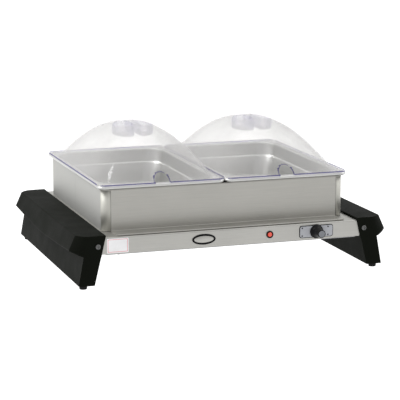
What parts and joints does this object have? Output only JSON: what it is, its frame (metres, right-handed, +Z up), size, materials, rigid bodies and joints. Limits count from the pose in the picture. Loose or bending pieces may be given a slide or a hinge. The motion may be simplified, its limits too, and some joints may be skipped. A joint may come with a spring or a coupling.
{
  "type": "steam table unit",
  "caption": "Countertop buffet warmer: shallow heated base on moulded end legs, lift-off frame with side-by-side pans, clear domed lids with spoon notch.",
  "frame": {"origin": "centre of the object's box, at the surface its feet stand on", "axes": "+X to the user's right along the front, +Y from the control side to the rear, +Z up"},
  "size_m": [0.824, 0.6672, 0.3531],
  "materials": {
    "stainless": "brushed",
    "pan_steel": "satin bright",
    "plain_steel": "mill",
    "screw_steel": "plated",
    "black_plastic": "fine grain",
    "knob_plastic": "satin",
    "grey_plastic": "satin",
    "clear_polycarbonate": "clear",
    "rubber": "matte",
    "red_lens": "clear faceted",
    "label": "smooth",
    "mica": "matte",
    "fibre": "felted",
    "ceramic": "matte",
    "wire_red": "satin",
    "wire_white": "satin"
  },
  "bodies": {
    "base": {"base_tray": "stainless", "bottom_cover": "plain_steel", "leg_left": "black_plastic", "leg_right": "black_plastic", "control_bezel": "grey_plastic", "indicator_body": "knob_plastic", "indicator_lens": "red_lens", "badge_plate": "knob_plastic", "blank_label": "label", "heating_pad": "mica", "insulation_blanket": "fibre", "retainer_plate": "plain_steel", "thermostat_bracket": "plain_steel", "thermostat_body": "ceramic", "high_limit_switch": "ceramic", "terminal_block": "ceramic", "cord_gland": "knob_plastic", "thermostat_lead": "wire_red", "lamp_lead": "wire_white", "heater_lead": "wire_white", "limit_lead": "wire_red", "foot_front_left": "rubber", "leg_screw_front_left": "screw_steel", "foot_front_right": "rubber", "leg_screw_front_right": "screw_steel", "foot_rear_left": "rubber", "leg_screw_rear_left": "screw_steel", "foot_rear_right": "rubber", "leg_screw_rear_right": "screw_steel", "cover_screw_1": "screw_steel", "cover_screw_2": "screw_steel", "cover_screw_3": "screw_steel", "cover_screw_4": "screw_steel"},
    "pan_frame": {"frame_front_panel": "stainless", "frame_rear_panel": "stainless", "pan_support_rail": "stainless", "frame_divider": "stainless", "frame_left_panel_front": "stainless", "frame_corner_front_left": "stainless", "frame_left_panel_rear": "stainless", "frame_corner_rear_left": "stainless", "frame_right_panel_front": "stainless", "frame_corner_front_right": "stainless", "frame_right_panel_rear": "stainless", "frame_corner_rear_right": "stainless"},
    "pan_left_body": {"pan_left": "pan_steel"},
    "pan_right_body": {"pan_right": "pan_steel"},
    "lid_left_body": {"lid_left": "clear_polycarbonate"},
    "lid_right_body": {"lid_right": "clear_polycarbonate"},
    "knob": {"thermostat_knob": "knob_plastic", "knob_cap": "grey_plastic", "thermostat_shaft": "plain_steel"}
  },
  "joints": [
    {"name": "frame_lift", "type": "slide", "parent": "base", "child": "pan_frame", "axis": [0, 0, 1], "range_m": [0, 0.15]},
    {"name": "pan_left_lift", "type": "slide", "parent": "pan_frame", "child": "pan_left_body", "axis": [0, 0, 1], "range_m": [0, 0.12]},
    {"name": "pan_right_lift", "type": "slide", "parent": "pan_frame", "child": "pan_right_body", "axis": [0, 0, 1], "range_m": [0, 0.12]},
    {"name": "lid_left_lift", "type": "slide", "parent": "pan_left_body", "child": "lid_left_body", "axis": [0, 0, 1], "range_m": [0, 0.15]},
    {"name": "lid_right_lift", "type": "slide", "parent": "pan_right_body", "child": "lid_right_body", "axis": [0, 0, 1], "range_m": [0, 0.15]},
    {"name": "knob_turn", "type": "hinge", "parent": "base", "child": "knob", "pos_m": [0.217, -0.29755, 0.1045], "axis": [0, 1, 0], "range_deg": [0, 270]}
  ]
}
